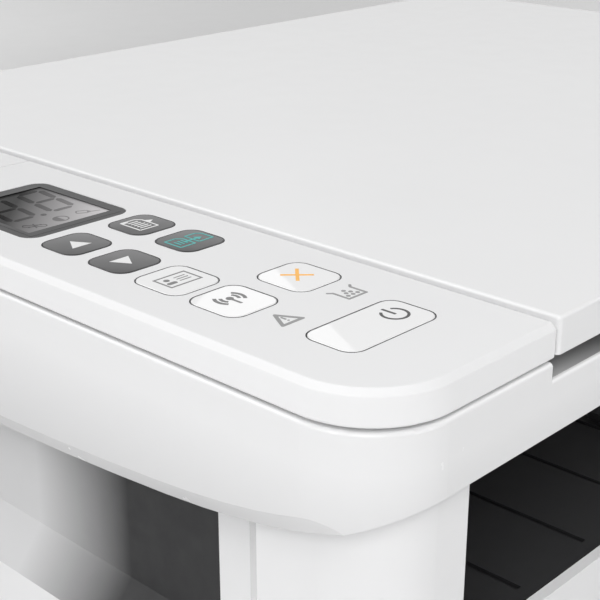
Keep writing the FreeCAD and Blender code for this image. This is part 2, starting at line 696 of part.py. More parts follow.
def build_motor():
    y, z = CENTRES["motor_pinion"]
    back = MOTOR_FACE + MOTOR_FLANGE
    motor = rod(y, z, MOTOR_R, back, MOTOR_END)
    motor = motor.fuse(box(MOTOR_FACE, back, y - 26, y + 26, z - 16, z + 22))
    motor = motor.cut(rod(y, z, MOTOR_SHAFT + RUN, MOTOR_FACE - 1, MOTOR_END - 5))
    save("main_motor", motor.removeSplitter())
    pinion = gear(TEETH["motor_pinion"], PHASES["motor_pinion"], (y, z), GEAR_X, GEAR_X + GEAR_WIDTH)
    save("motor_pinion", pinion.fuse(rod(y, z, MOTOR_SHAFT, PLATE_X, MOTOR_END - 6)).removeSplitter())


def build_paper_path():
    bed = box(-BED_X, BED_X, *BED_Y, *BED_Z)
    for x in BED_LEGS:
        bed = bed.fuse(box(x - 2, x + 2, BED_Y[0] + 2, BED_Y[1] - 6, PAN_TOP, BED_Z[0]))
    save("paper_bed", bed.removeSplitter())
    inner, outer = GUIDE_X
    for name, sign in (("guide_left", -1), ("guide_right", 1)):
        wall = box(sign * outer, sign * inner, BED_Y[0] + 4, -32, GUIDE_LOW, GUIDE_TOP)
        foot = box(sign * outer, sign * (inner - 17), BED_Y[0] + 12, -44, GUIDE_LOW, GUIDE_LOW + 1.7)
        save(name, wall.fuse(foot).removeSplitter())

    front = ENGINE_FRONT
    inside = front + TRAY_THICK
    tray = box(-TRAY_X, TRAY_X, front, inside, TRAY_LOW, TRAY_TOP)
    for x in TRAY_RIBS:
        tray = tray.fuse(box(x - TRAY_RIB / 2, x + TRAY_RIB / 2, inside, TRAY_RIB_REAR, 28, TRAY_SHELF))
    shelf = box(-TRAY_X, TRAY_X, inside, TRAY_RIB_REAR, TRAY_SHELF, TRAY_SHELF + TRAY_RIB)
    tray = tray.fuse(shelf).removeSplitter()
    wide, tall, deep = TRAY_GRIP
    tray = tray.cut(box(-wide / 2, wide / 2, front - 1, front + deep, TRAY_TOP - tall, TRAY_TOP + 1))
    tray = tray.fuse(rod(*TRAY_PIVOT, TRAY_PIN, -LUG_X[1] + 0.1, LUG_X[1] - 0.1))
    save("input_tray", tray.removeSplitter())


def build_rollers():
    for name, radius, length in ROLLERS:
        save(name, roller(name, radius, length))
    delivery = [roller("delivery_roller", SHAFT + 0.5, ROLLER_LONG + 10)]
    for x in TYRES:
        delivery.append(rod(*CENTRES["delivery_roller"], DELIVERY_R, x - TYRE_WIDTH / 2, x + TYRE_WIDTH / 2))
    save("delivery_roller", fuse(delivery))
    sleeve = rod(*SLEEVE_AT, FUSER_R, -ROLLER_LONG / 2, ROLLER_LONG / 2)
    reach = PLATE_X + PLATE_THICK
    save("fuser_sleeve", sleeve.fuse(rod(*SLEEVE_AT, SHAFT, -reach, reach)).removeSplitter())
    for name in IDLERS:
        save(name, idler(name))


def above_skirt(sign):
    """All that lies over the skirts' curved lower edge, tilted at one side to bevel that edge."""
    deep, tall = SKIRT_BEVEL
    start = -BEYOND
    lift = 0.0
    run = FreeCAD.Vector(2 * BEYOND, 0, 0)
    if sign:
        start = sign * (X_SIDE + deep)
        lift = 2 * tall
        run = FreeCAD.Vector(-sign * 2 * BEYOND, 0, -2 * BEYOND * tall / deep)
    curve = Part.BSplineCurve()
    curve.interpolate([FreeCAD.Vector(start, y, z + lift) for y, z in SKIRT_POINTS])
    first = curve.StartPoint
    last = curve.EndPoint
    high_last = FreeCAD.Vector(start, last.y, 10 * LID_TOP)
    high_first = FreeCAD.Vector(start, first.y, 10 * LID_TOP)
    edges = [curve.toShape(), Part.makeLine(last, high_last)]
    edges += [Part.makeLine(high_last, high_first), Part.makeLine(high_first, first)]
    return Part.Face(Part.Wire(edges)).extrude(run)


def tub_line(lift, front, rear):
    """Side view of a space above the tub's bottom, raised by lift, as (y, z) points."""
    points = [(front, LID_TOP)]
    for y in (front, SLOPE_FAR, SLOPE_END):
        points.append((y, tub_height(y) + lift))
    if rear > TUB_REAR:
        points += [(TUB_REAR - lift, TUB_LOW + lift), (TUB_REAR - lift, TUB_REAR_LOW + lift)]
        points += [(rear, TUB_REAR_LOW + lift), (rear, LID_TOP)]
    else:
        points += [(rear, TUB_LOW + lift), (rear, LID_TOP)]
    return points


def scanner_shell():
    """The tub's outside: rounded walls, skirts with a bevelled lower edge, and a stepped bottom."""
    corners = (CORNER_FRONT, CORNER_FRONT, CORNER_REAR, CORNER_REAR)
    inner_corners = [r - SKIRT for r in corners]
    shell = slab(-X_SIDE, X_SIDE, Y_FRONT, SCANNER_REAR, TUB_LOW - SKIRT_DROP, SEAM_LOW, corners)
    shell = soft_top(shell, LIP_ROUND, SEAM_LOW)
    for sign in (0, -1, 1):
        shell = shell.common(above_skirt(sign))
    low = TUB_LOW - SKIRT_DROP - 1
    inside = X_SIDE - SKIRT
    under = slab(-inside, inside, Y_FRONT + SKIRT, SCANNER_REAR + 1, low, LID_TOP, inner_corners)
    return shell.cut(under.cut(side_cut(tub_line(0, Y_FRONT - 5, SCANNER_REAR + 5), -X_SIDE, X_SIDE)))


def scanner_base():
    """The tub with its scan bay, panel bay, hinge shelf, finger notch, hinge ears and rack."""
    bay_left = GROOVE_X + 3
    bay_right = X_SIDE - SKIRT
    base = scanner_shell()
    base = base.cut(side_cut(tub_line(WALL, TUB_FRONT_INSIDE, TUB_REAR_INSIDE), bay_left, bay_right))
    panel_bay = strip_slab(SKIRT, GROOVE_X - WALL, TUB_LOW, LID_TOP)
    base = base.cut(panel_bay.common(side_cut(tub_line(WALL, Y_FRONT, SCANNER_REAR), -X_SIDE, X_SIDE)))
    base = base.cut(box(bay_left, bay_right, TUB_REAR + 0.5, SCANNER_REAR + 1, HINGE_SHELF, LID_TOP))
    shelf_front = LID_EAR_Y[0] + 2.5
    base = base.cut(box(GROOVE_X - 0.4, X_SIDE + 1, shelf_front, SCANNER_REAR + 1, HINGE_SHELF, LID_TOP))
    base = base.cut(box(GROOVE_X - 1, X_SIDE + 1, Y_FRONT - 1, NOTCH_REAR, NOTCH_LOW, LID_TOP))
    for x in LID_HINGE_X:
        left = x - LID_EAR / 2
        right = x + LID_EAR / 2
        ear = box(left, right, *LID_EAR_Y, HINGE_SHELF - 1, LID_PIVOT[1])
        ear = ear.fuse(rod(*LID_PIVOT, 2 * LID_PIN, left, right))
        base = base.fuse(ear.cut(rod(*LID_PIVOT, LID_PIN + RUN, left - 1, right + 1)))
    base = base.cut(rod(*RAIL_AT, SHAFT, GROOVE_X + 1, X_SIDE - 1))
    return base.fuse(carriage_rack()).removeSplitter()


def build_scanner():
    base = scanner_base()
    below_notch = box(GROOVE_X - 1, X_SIDE + 1, Y_FRONT - 1, NOTCH_REAR, 0, NOTCH_LOW)
    lip = base.common(below_notch)
    front_edges = []
    for edge in flat_edges(lip, NOTCH_LOW):
        if edge.BoundBox.XMax > GROOVE_X and edge.BoundBox.YMin < NOTCH_REAR - 1:
            front_edges.append(edge)
    lip = lip.makeFillet(LIP_ROUND, front_edges)
    save("scanner_base", Part.makeCompound([base.cut(below_notch), lip]))

    frame = box(GROOVE_X + 3, X_SIDE - SKIRT, TUB_FRONT_INSIDE, TUB_REAR_INSIDE, GLASS_HIGH, SEAM_LOW + 0.6)
    window = box(WINDOW_X[0], WINDOW_X[1], *WINDOW_Y, GLASS_HIGH - 1, LID_TOP)
    save("scanner_frame", frame.cut(window))
    left, right = (WINDOW_X[0] - GLASS_EDGE, WINDOW_X[1] + GLASS_EDGE)
    front, rear = (WINDOW_Y[0] - GLASS_EDGE, WINDOW_Y[1] + GLASS_EDGE)
    save("platen_glass", box(left, right, front, rear, GLASS_LOW, GLASS_HIGH))
    save("scan_rail", rod(*RAIL_AT, SHAFT, GROOVE_X + 1, X_SIDE - 1))


def build_scanner_hinges():
    y, z = SCANNER_PIVOT
    ring = 2 * SCANNER_PIN
    arms = []
    ears = []
    for x in SCANNER_HINGE_X:
        arm = box(x - 2.5, x + 2.5, y - ring, y + ring, z, TUB_REAR_LOW)
        arm = arm.fuse(rod(y, z, ring, x - 2.5, x + 2.5))
        arms.append(arm.fuse(rod(y, z, SCANNER_PIN, x - 7, x + 7)).removeSplitter())
        for side in (-1, 1):
            near, far = sorted((x + side * 3, x + side * 6))
            ear = box(near, far, y - ring, y + ring, ENGINE_TOP, z).fuse(rod(y, z, ring, near, far))
            ears.append(ear.cut(rod(y, z, SCANNER_PIN + RUN, x - 8, x + 8)).removeSplitter())
    save("scanner_hinge_arms", Part.makeCompound(arms))
    save("hinge_ears", Part.makeCompound(ears))


def carriage_rack():
    """The toothed rail moulded in the tub, which the carriage's pinion runs along."""
    pitch = math.pi
    line = PINION_AT[1] + PINION_TEETH / 2
    back = line + 4
    low = TUB_LOW + WALL - 0.2
    high = TUB_LOW + WALL + 5
    root = TOOTH_HALF + DEDENDUM * FLANK
    tip = TOOTH_HALF - ADDENDUM * FLANK
    left = GROOVE_X + 3
    right = X_SIDE - SKIRT
    points = [(left, back), (left, line + DEDENDUM)]
    start = PINION_AT[0] + pitch / 2 - 4 * pitch
    for tooth in range(int(RACK_LONG / pitch)):
        x = start + pitch * tooth
        points += [(x - root, line + DEDENDUM), (x - tip, line - ADDENDUM)]
        points += [(x + tip, line - ADDENDUM), (x + root, line + DEDENDUM)]
    points += [(right, line + DEDENDUM), (right, back)]
    outline = [FreeCAD.Vector(x, y, low) for x, y in points]
    outline.append(outline[0])
    return Part.Face(Part.makePolygon(outline)).extrude(FreeCAD.Vector(0, 0, high - low))


def build_carriage():
    x0, x1 = CARRIAGE_X
    front, rear = CARRIAGE_Y
    low = TUB_LOW + WALL + 6
    px, py = PINION_AT
    y, z = RAIL_AT
    body = box(x0, x1, front, rear, low, GLASS_LOW - 1)
    body = body.cut(box(x0 + 4, x0 + 10, front + 6, rear - 6, GLASS_LOW - 3, GLASS_LOW))
    body = body.cut(box(x0 - 1, x1 + 1, front - 1, front + 22, low - 1, low + 3.5))
    saddle = box(x0, x1, y - 2 * SHAFT, y + 2 * SHAFT, z - 1, low)
    body = body.fuse(saddle).cut(rod(y, z, SHAFT + RUN, x0 - 1, x1 + 1))
    body = body.cut(post(px, py, MOTOR_SHAFT + RUN, low - 1, low + 5))
    motor_bay = box(x0 - 1, x1 + 1, py - 30, py - 14, low - 1, low + 6)
    save("scan_carriage", body.cut(motor_bay).removeSplitter())
    save("scan_motor", box(x0 + 1, x1 - 1, py - 29, py - 15, low - 4, low + 6))
    wheel_low = TUB_LOW + WALL + 0.6
    wheel = []
    for angle, radius in gear_outline(PINION_TEETH, math.pi / 2):
        wheel.append(FreeCAD.Vector(px + radius * math.cos(angle), py + radius * math.sin(angle), wheel_low))
    wheel.append(wheel[0])
    pinion = Part.Face(Part.makePolygon(wheel)).extrude(FreeCAD.Vector(0, 0, 4))
    save("scan_pinion", pinion.fuse(post(px, py, MOTOR_SHAFT, wheel_low, low + 4)).removeSplitter())


def groove_edges(cap):
    """The edges of the panel's right end, apart from the lowest."""
    found = []
    for edge in cap.Edges:
        limits = edge.BoundBox
        at_end = abs(limits.XMin - PANEL_RIGHT) < 1e-3 and abs(limits.XMax - PANEL_RIGHT) < 1e-3
        if at_end and limits.ZMax > SEAM_HIGH + 0.1:
            found.append(edge)
    return found


def strip_slab(inset, right, low, high):
    """A block in the plan of the panel strip, less an inset at the left, front and rear."""
    radii = (CORNER_FRONT - inset, CORNER_INNER, CORNER_INNER, CORNER_REAR - inset)
    return slab(-X_SIDE + inset, right, Y_FRONT + inset, SCANNER_REAR - inset, low, high, radii)


def panel_shell():
    """The panel strip as one shell: a bevelled cap with a rim below that drops into the tub."""
    cap = slab(-X_SIDE, GROOVE_X + CORNER_FRONT, Y_FRONT, SCANNER_REAR, SEAM_HIGH, PANEL_TOP,
               (CORNER_FRONT, CORNER_REAR, CORNER_REAR, CORNER_REAR))
    cap = bevelled_top(cap, PANEL_BEVEL, PANEL_ROUND, PANEL_TOP)
    cap = cap.makeFillet(SEAM_ROUND, flat_edges(cap, SEAM_HIGH))
    cap = cap.cut(box(PANEL_RIGHT, X_SIDE, Y_FRONT - 1, Y_REAR, SEAM_HIGH - 1, LID_TOP))
    cap = cap.makeFillet(GROOVE_ROUND, groove_edges(cap))
    cap = cap.cut(strip_slab(WALL, PANEL_RIGHT - WALL, SEAM_HIGH - 1, PANEL_TOP - WALL))
    rim_inset = SKIRT + 0.3
    rim = strip_slab(rim_inset, GROOVE_X - WALL - 0.3, SEAM_LOW - 4, SEAM_HIGH + 2)
    rim_right = PANEL_RIGHT - WALL - RIM_THICK
    rim = rim.cut(strip_slab(rim_inset + RIM_THICK, rim_right, SEAM_LOW - 5, SEAM_HIGH + 3))
    return cap.fuse(rim).removeSplitter()


def display_block(inset, low, high):
    """A block as large as the display's window, less an inset all round."""
    x0, x1 = DISPLAY_X
    y0, y1 = DISPLAY_Y
    return slab(x0 + inset, x1 - inset, y0 + inset, y1 - inset, low, high, [DISPLAY_ROUND - inset] * 4)


def key_block(key, inset, low, high, radius):
    """A block as large as a key's hole, less an inset all round."""
    x, y, width, depth = key
    half_x = width / 2 - inset
    half_y = depth / 2 - inset
    return slab(x - half_x, x + half_x, y - half_y, y + half_y, low, high, [radius] * 4)


def build_panel():
    strip = panel_shell()
    half_gap = STRIP_GAP / 2
    panel = strip.common(box(-BEYOND, 0, -BEYOND, STRIP_SPLIT - half_gap, 0, BEYOND))
    for key in KEYS.values():
        panel = panel.cut(key_block(key, 0.0, PANEL_TOP - 6, LID_TOP, KEY_ROUND))
    save("control_panel", panel.cut(display_block(0.0, SEAM_HIGH, LID_TOP)))
    save("panel_strip", strip.common(box(-BEYOND, 0, STRIP_SPLIT + half_gap, BEYOND, 0, BEYOND)))
    bezel = display_block(BEZEL_GAP, PANEL_TOP - 4, PANEL_TOP - BEZEL_GAP)
    save("display_bezel", bezel.cut(display_block(DISPLAY_BORDER, PANEL_TOP - 5, LID_TOP)))
    save("lcd_panel", display_block(DISPLAY_BORDER, PANEL_TOP - 3, PANEL_TOP - LCD_SUNK))


def build_keys():
    top = PANEL_TOP + KEY_PROUD
    flange_low = PANEL_TOP - 3.2
    board_top = PANEL_TOP - 7.5
    board_low = board_top - BOARD_THICK
    board = box(-X_SIDE + 6, GROOVE_X - 6, Y_FRONT + 12, PANEL_BOARD_REAR, board_low, board_top)
    board = board.cut(box(-X_SIDE, -X_SIDE + 14, Y_FRONT, Y_FRONT + 20, board_low - 1, board_top + 1))
    for name, key in KEYS.items():
        x, y = key[:2]
        board = board.fuse(box(x - 3, x + 3, y - 3, y + 3, board_top - 0.2, board_top + 1))
        cap = soft_top(key_block(key, KEY_GAP, flange_low, top, KEY_ROUND - KEY_GAP), KEY_EDGE, top)
        flange = key_block(key, KEY_GAP - 1, flange_low, flange_low + 0.6, KEY_ROUND)
        save(name, fuse([cap, flange, post(x, y, 1.5, board_top + 2, flange_low + 0.2)]))
    save("panel_board", board.removeSplitter())


def build_lid():
    corners = (CORNER_SMALL, CORNER_FRONT, CORNER_REAR, CORNER_SMALL)
    inner_corners = (CORNER_INNER, CORNER_FRONT - WALL, CORNER_REAR - WALL, CORNER_INNER)
    cover = slab(LID_LEFT, X_SIDE, Y_FRONT, SCANNER_REAR, LID_LOW, LID_TOP, corners)
    cover = soft_top(cover, LID_ROUND, LID_TOP)
    roof = LID_TOP - WALL
    left = LID_LEFT + WALL
    right = X_SIDE - WALL
    hollow = slab(left, right, Y_FRONT + WALL, SCANNER_REAR - WALL, LID_LOW - 1, roof, inner_corners)
    save("lid_cover", cover.cut(hollow))
    save("lid_pad", box(*PAD_X, *PAD_Y, LID_LOW + 0.3, roof))
    y, z = LID_PIVOT
    ring = 2 * LID_PIN
    arms = []
    for x in LID_HINGE_X:
        for side in (-1, 1):
            near, far = sorted((x + side * 1.9, x + side * 5))
            arm = box(near, far, y - ring, y + ring, z, roof)
            arms.append(arm.fuse(rod(y, z, ring, near, far)))
        arms.append(rod(y, z, LID_PIN, x - 5, x + 5))
    save("lid_hinge_arms", fuse(arms))


os.makedirs("parts", exist_ok=True)
build_base()
build_outer_walls()
build_bin()
save("left_plate", side_plate(-1))
save("right_plate", side_plate(1))
build_laser()
build_cartridge()
build_boards()
build_motor()
build_paper_path()
build_rollers()
build_scanner()
build_scanner_hinges()
build_carriage()
build_panel()
build_keys()
build_lid()
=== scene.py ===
# %% [markdown]
# # A compact flatbed laser printer
# This lesson dresses a printer that already exists as a set of solid parts. The solids have their shapes and
# sizes, so all of them stay and only get a finish. What they lack is print and thin linings: the symbols on
# the keys, the display's digits, the dark lines around the keys and the plates of painted shade in the hand
# grips. Those are modelled here, piece by piece.

# %% Load the solid parts
import json
import math
import bpy
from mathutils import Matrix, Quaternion, Vector


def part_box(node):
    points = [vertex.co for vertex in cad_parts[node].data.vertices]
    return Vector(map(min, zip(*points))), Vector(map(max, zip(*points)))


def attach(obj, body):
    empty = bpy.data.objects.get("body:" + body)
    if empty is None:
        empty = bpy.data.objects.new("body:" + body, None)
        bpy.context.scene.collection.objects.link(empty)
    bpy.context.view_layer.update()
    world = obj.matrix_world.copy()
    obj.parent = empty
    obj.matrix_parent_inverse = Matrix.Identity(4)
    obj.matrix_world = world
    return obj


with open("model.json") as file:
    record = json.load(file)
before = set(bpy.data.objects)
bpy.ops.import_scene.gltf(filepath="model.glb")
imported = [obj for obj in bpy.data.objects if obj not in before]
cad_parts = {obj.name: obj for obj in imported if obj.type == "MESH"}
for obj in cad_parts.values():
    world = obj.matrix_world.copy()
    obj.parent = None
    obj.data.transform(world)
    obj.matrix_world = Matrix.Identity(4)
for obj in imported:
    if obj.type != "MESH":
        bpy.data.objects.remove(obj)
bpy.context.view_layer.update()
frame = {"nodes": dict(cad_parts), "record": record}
MM = 0.001

# %% [markdown]
# ## Camera
# The picture is a close view of one corner, so perspective is strong and the camera has to stand where
# the photographer's did. Two sets of parallel edges on the printer gave the lens and the tilt, and the
# height over the panel followed from the size of the keys.

# %% Stand the camera over the front left corner
PHOTO_PIXELS = 600
LENS_PIXELS = 1298.8
SENSOR_MM = 36.0
TILT = math.radians(21.44)
HEADING = math.radians(46.59)
NEAR_CLIP = 10 * MM
HALF_GROOVE = 0.6 * MM
groove_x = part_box("control_panel")[1][0] + HALF_GROOVE
front_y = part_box("control_panel")[0][1]
panel_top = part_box("control_panel")[1][2]
CAMERA_FROM_GROOVE = Vector((-190.8, -115.65, 90.0)) * MM

camera_data = bpy.data.cameras.new("camera")
camera = bpy.data.objects.new("camera", camera_data)
bpy.context.collection.objects.link(camera)
bpy.context.scene.camera = camera
camera_data.sensor_width = SENSOR_MM
camera_data.lens = LENS_PIXELS / PHOTO_PIXELS * SENSOR_MM
camera_data.clip_start = NEAR_CLIP
camera.location = Vector((groove_x, front_y, panel_top)) + CAMERA_FROM_GROOVE
look = Vector((math.sin(HEADING) * math.cos(TILT), math.cos(HEADING) * math.cos(TILT), -math.sin(TILT)))
camera.rotation_euler = look.to_track_quat("-Z", "Y").to_euler()
print("camera at", [round(v, 4) for v in camera.location], "lens", round(camera_data.lens, 1), "mm")

# %% [markdown]
# ## Floor and world
# The printer stands on a pale floor. The world gives an even base light, and it is white only to the
# camera, to reflections and through glass, so the background stays clean without washing out the walls.

# %% Floor and world
FLOOR_SIZE = 6.0
EVEN_LIGHT = 0.2
WHITE_LIGHT = 1.0
PURE_WHITE = (1.0, 1.0, 1.0, 1.0)


def deselect_all():
    bpy.ops.object.select_all(action="DESELECT")


deselect_all()
bpy.ops.mesh.primitive_plane_add(size=FLOOR_SIZE, location=(0, 0, 0))
floor = bpy.context.object
floor.name = "studio_floor"

world = bpy.data.worlds.new("studio")
bpy.context.scene.world = world
world.use_nodes = True
sky = world.node_tree.nodes
sky_links = world.node_tree.links
sky.clear()
path = sky.new("ShaderNodeLightPath")
seen = sky.new("ShaderNodeMath")
seen.operation = "MAXIMUM"
mirrored = sky.new("ShaderNodeMath")
mirrored.operation = "MAXIMUM"
sky_links.new(path.outputs["Is Glossy Ray"], mirrored.inputs[0])
sky_links.new(path.outputs["Is Transmission Ray"], mirrored.inputs[1])
sky_links.new(path.outputs["Is Camera Ray"], seen.inputs[0])
sky_links.new(mirrored.outputs[0], seen.inputs[1])
even = sky.new("ShaderNodeBackground")
even.inputs["Color"].default_value = PURE_WHITE
even.inputs["Strength"].default_value = EVEN_LIGHT
white = sky.new("ShaderNodeBackground")
white.inputs["Color"].default_value = PURE_WHITE
white.inputs["Strength"].default_value = WHITE_LIGHT
either = sky.new("ShaderNodeMixShader")
sky_links.new(seen.outputs[0], either.inputs[0])
sky_links.new(even.outputs[0], either.inputs[1])
sky_links.new(white.outputs[0], either.inputs[2])
sky_out = sky.new("ShaderNodeOutputWorld")
sky_links.new(either.outputs[0], sky_out.inputs["Surface"])
print("floor and world set")

# %% [markdown]
# ## Lamps
# A product shot of a white machine needs soft light from large sources, or the white burns out. Lamps from
# the left, the front and above give the faces their tone. Two softboxes stand where the rounded edges mirror
# them, so edges get a bright line. A small slanted one is mirrored in the glossy keys. Four more lamps face
# away from the printer and keep the far floor pale.

# %% Lamps
def soft_lamp(name, place, aim, size, power, roll=0.0):
    data = bpy.data.lights.new(name, "AREA")
    data.shape = "RECTANGLE"
    data.size = size[0]
    data.size_y = size[1]
    data.energy = power
    lamp = bpy.data.objects.new(name, data)
    bpy.context.collection.objects.link(lamp)
    lamp.location = place
    facing = (Vector(aim) - Vector(place)).to_track_quat("-Z", "Y")
    turned = facing @ Quaternion((0, 0, 1), math.radians(roll))
    lamp.rotation_euler = turned.to_euler()
    return lamp


soft_lamp("slanted_softbox", place=(0.735, 0.768, 0.738), aim=(-0.018, 0.019, 0.3),
          size=(0.23, 0.101), power=0.057, roll=133.3)
soft_lamp("rear_left_softbox", place=(-0.835, 1.086, 1.385), aim=(-0.13, -0.08, 0.19),
          size=(1.1, 0.95), power=13.0)
soft_lamp("front_right_softbox", place=(0.76, -0.57, 0.75), aim=(-0.1, -0.13, 0.18),
          size=(0.5, 0.5), power=1.8)
soft_lamp("left_lamp", place=(-0.85, -0.55, 0.7), aim=(-0.15, -0.1, 0.15), size=(0.6, 0.6), power=5.6)
soft_lamp("front_lamp", place=(0.15, -0.9, 0.8), aim=(0.0, -0.1, 0.15), size=(0.6, 0.5), power=1.5)
soft_lamp("near_overhead_lamp", place=(-0.2, -0.45, 0.8), aim=(-0.1, -0.1, 0.19),
          size=(0.5, 0.5), power=0.6)

WASH_FROM = 1.3
WASH_TO = 2.6
WASH_HEIGHT = 1.0
for x, y in ((1, 0), (-1, 0), (0, 1), (0, -1)):
    wash = soft_lamp("floor_wash", place=(WASH_FROM * x, WASH_FROM * y, WASH_HEIGHT),
                     aim=(WASH_TO * x, WASH_TO * y, 0.0), size=(1.6, 0.8), power=10.0)
    wash.visible_camera = False
    wash.visible_glossy = False
bpy.context.scene.view_settings.view_transform = "Standard"
print(len(bpy.data.lights), "lamps set")

# %% [markdown]
# ## Finishes
# Moulded plastic is never a flat colour. The gloss drifts a little from place to place, the tone moves by
# a percent or so, and some plastics have a fine grain from the tool's steel. One recipe with up to three
# noise textures gives all of that, and each finish only sets its own numbers.

# %% One recipe for moulded plastic
NOISE_LOW = 0.25
NOISE_HIGH = 0.75
GRAIN_DEPTH = 0.02 * MM
TONE_PATCH = 35.0
GLOSS_PATCH = 9.0
GLOSS_SWING = 0.05


def new_material(name):
    material = bpy.data.materials.new(name)
    material.use_nodes = True
    nodes = material.node_tree.nodes
    return material, nodes, material.node_tree.links, nodes["Principled BSDF"]


def noise(nodes, links, millimetres, detail=3.0):
    """A noise texture whose features are about so many millimetres across."""
    where = nodes.new("ShaderNodeTexCoord")
    texture = nodes.new("ShaderNodeTexNoise")
    texture.inputs["Scale"].default_value = 1.0 / (millimetres * MM)
    texture.inputs["Detail"].default_value = detail
    links.new(where.outputs["Object"], texture.inputs["Vector"])
    return texture.outputs["Fac"]


def spread(nodes, links, source, low, high):
    """Stretch the middle of a noise to the range from low to high."""
    ranged = nodes.new("ShaderNodeMapRange")
    ranged.inputs["From Min"].default_value = NOISE_LOW
    ranged.inputs["From Max"].default_value = NOISE_HIGH
    ranged.inputs["To Min"].default_value = low
    ranged.inputs["To Max"].default_value = high
    links.new(source, ranged.inputs["Value"])
    return ranged.outputs["Result"]


def two_tone(nodes, links, factor, first, second):
    mix = nodes.new("ShaderNodeMix")
    mix.data_type = "RGBA"
    mix.inputs["A"].default_value = (*first, 1.0)
    mix.inputs["B"].default_value = (*second, 1.0)
    links.new(factor, mix.inputs["Factor"])
    return mix.outputs["Result"]


def grain_bump(nodes, links, shader, millimetres, strength):
    bump = nodes.new("ShaderNodeBump")
    bump.inputs["Strength"].default_value = strength
    bump.inputs["Distance"].default_value = GRAIN_DEPTH
    links.new(noise(nodes, links, millimetres), bump.inputs["Height"])
    links.new(bump.outputs["Normal"], shader.inputs["Normal"])


def moulded(name, colour, roughness, grain=0.5, strength=0.25, drift=0.015, shine=0.5):
    material, nodes, links, shader = new_material(name)
    shader.inputs["Specular IOR Level"].default_value = shine
    light = [min(1.0, c * (1 + drift)) for c in colour]
    dark = [c * (1 - drift) for c in colour]
    tone = spread(nodes, links, noise(nodes, links, TONE_PATCH), 0.0, 1.0)
    links.new(two_tone(nodes, links, tone, dark, light), shader.inputs["Base Color"])
    gloss = spread(nodes, links, noise(nodes, links, GLOSS_PATCH),
                   roughness * (1 - GLOSS_SWING), roughness * (1 + GLOSS_SWING))
    links.new(gloss, shader.inputs["Roughness"])
    if strength:
        grain_bump(nodes, links, shader, grain, strength)
    return material


finish = {
    "white_plastic": moulded("white_plastic", (0.82, 0.82, 0.825), 0.25,
                             strength=0, drift=0.006, shine=0.4),
    "dark_plastic": moulded("dark_plastic", (0.015, 0.015, 0.016), 0.5,
                            grain=0.35, strength=0.2, drift=0.1),
    "frame_plastic": moulded("frame_plastic", (0.055, 0.055, 0.058), 0.5,
                             grain=0.4, strength=0.3, drift=0.05),
    "black_plastic": moulded("black_plastic", (0.016, 0.016, 0.017), 0.45,
                             grain=0.4, strength=0.3, drift=0.1),
    "fuser_plastic": moulded("fuser_plastic", (0.06, 0.05, 0.042), 0.55,
                             grain=0.5, strength=0.3, drift=0.08),
    "gear_plastic": moulded("gear_plastic", (0.72, 0.69, 0.6), 0.4, grain=0.8, strength=0.1, drift=0.03),
    "pad_foam": moulded("pad_foam", (0.84, 0.84, 0.82), 0.85, grain=1.2, strength=0.6, drift=0.01),
    "white_key": moulded("white_key", (0.87, 0.87, 0.872), 0.02, strength=0, drift=0.005),
    "bezel": moulded("bezel", (0.008, 0.008, 0.009), 0.35, strength=0, drift=0.05, shine=0.3),
    "rubber": moulded("rubber", (0.03, 0.03, 0.031), 0.8, grain=0.3, strength=0.5, drift=0.1),
}
print(len(finish), "moulded finishes")

# %% [markdown]
# ## Metal, glass and boards
# Zinc-plated sheet has a faint crystal pattern, a ground shaft is smooth, and the photo drum is a tube
# with a glossy coloured coating. The glass plate is clear with a slight green body. Circuit boards are
# green with lighter tracks. The display and some other parts carry painted light and shade that runs from one
# end to the other.

# %% Metals, glass, boards and the display
CRYSTALS = 220.0
STEEL_PATCH = 4.0
COAT_TONE_PATCH = 6.0
COAT_GLOSS_PATCH = 2.0
COAT_DARK = 0.9
COAT_SWING = 0.2
TRACKS = 90.0
BOARD_PATCH = 3.0
RUN_PATCH = 5.0
RUN_SWING = 0.1
LCD_REFLECTION_FROM = 0.36


def plated_steel():
    material, nodes, links, shader = new_material("steel")
    shader.inputs["Metallic"].default_value = 1.0
    where = nodes.new("ShaderNodeTexCoord")
    crystals = nodes.new("ShaderNodeTexVoronoi")
    crystals.inputs["Scale"].default_value = CRYSTALS
    links.new(where.outputs["Object"], crystals.inputs["Vector"])
    tone = two_tone(nodes, links, crystals.outputs["Distance"], (0.5, 0.51, 0.53), (0.66, 0.67, 0.69))
    links.new(tone, shader.inputs["Base Color"])
    gloss = spread(nodes, links, noise(nodes, links, STEEL_PATCH), 0.28, 0.42)
    links.new(gloss, shader.inputs["Roughness"])
    return material


def coated(name, colour, roughness, metallic):
    material, nodes, links, shader = new_material(name)
    shader.inputs["Metallic"].default_value = metallic
    dark = [c * COAT_DARK for c in colour]
    tone = spread(nodes, links, noise(nodes, links, COAT_TONE_PATCH), 0.0, 1.0)
    links.new(two_tone(nodes, links, tone, dark, colour), shader.inputs["Base Color"])
    gloss = spread(nodes, links, noise(nodes, links, COAT_GLOSS_PATCH),
                   roughness * (1 - COAT_SWING), roughness * (1 + COAT_SWING))
    links.new(gloss, shader.inputs["Roughness"])
    return material


def clear_glass():
    material, _, _, shader = new_material("glass")
    shader.inputs["Base Color"].default_value = (0.93, 0.98, 0.96, 1.0)
    shader.inputs["Roughness"].default_value = 0.03
    shader.inputs["Transmission Weight"].default_value = 1.0
    shader.inputs["IOR"].default_value = 1.5
    return material


